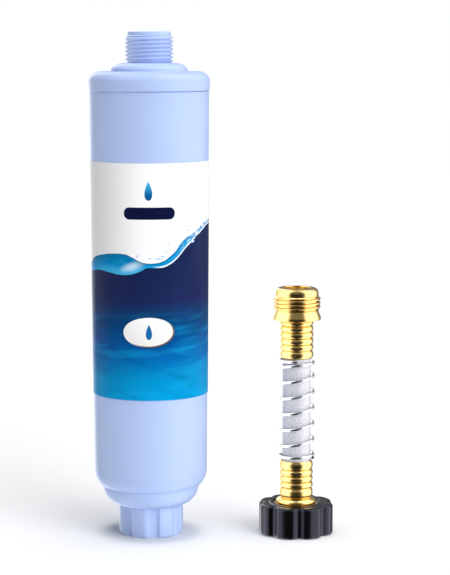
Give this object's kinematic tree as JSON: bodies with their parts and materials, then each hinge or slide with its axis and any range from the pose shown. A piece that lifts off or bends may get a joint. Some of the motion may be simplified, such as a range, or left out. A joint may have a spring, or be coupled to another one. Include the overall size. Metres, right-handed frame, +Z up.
{
  "type": "inline water filter",
  "caption": "Inline garden-hose water filter canister with male outlet and female inlet, with its spring-guarded flexible hose protector standing beside it.",
  "frame": {"origin": "on the floor, at the middle of the box round the filter and the hose protector", "axes": "+Z up along the filter from its inlet to its outlet, +X from the filter to the hose protector, -Y to the viewer"},
  "size_m": [0.1378, 0.0676, 0.2847],
  "materials": {
    "moulded_blue": "satin moulded plastic, periwinkle blue",
    "label_film": "printed wrap film, white over blue waves and navy",
    "washer_rubber": "black rubber",
    "grid_plastic": "white moulded plastic",
    "felt": "white needled felt",
    "kdf_granules": "packed bronze-coloured metal granules",
    "carbon_granules": "packed black carbon granules",
    "brass": "polished turned brass",
    "hose_vinyl": "clear vinyl tube",
    "hose_braid": "white braid under a clear cover",
    "spring_steel": "bright steel wire",
    "grip_black": "glossy black moulded plastic"
  },
  "bodies": {
    "filter": {"canister": "moulded_blue", "outlet_cap": "moulded_blue", "label_wrap": "label_film", "inlet_washer": "washer_rubber", "lower_support_grid": "grid_plastic", "lower_felt_pad": "felt", "kdf_bed": "kdf_granules", "middle_felt_pad": "felt", "carbon_bed": "carbon_granules", "upper_felt_pad": "felt", "upper_support_grid": "grid_plastic"},
    "protector": {"tailpiece": "brass", "lower_ferrule": "brass", "hose_liner": "hose_vinyl", "hose_braid": "hose_braid", "spring_guard": "spring_steel"},
    "swivel": {"swivel_nut": "brass", "nut_grip": "grip_black", "hose_washer": "washer_rubber"},
    "protector_head": {"upper_ferrule": "brass", "male_fitting": "brass"}
  },
  "joints": [
    {"name": "protector_lift", "type": "slide", "parent": "filter", "child": "protector", "axis": [0, 0, 1], "range_m": [0, 0.15]},
    {"name": "nut_spin", "type": "hinge", "parent": "protector", "child": "swivel", "pos_m": [0.04783, 0, 0.0089], "axis": [0, 0, 1], "continuous": true},
    {"name": "hose_bend", "type": "hinge", "parent": "protector", "child": "protector_head", "pos_m": [0.04783, 0, 0.07145], "axis": [1, 0, 0], "range_deg": [-45, 45], "stiffness_Nm_per_rad": 1.5, "deforming": ["hose_liner", "hose_braid", "spring_guard"]}
  ]
}
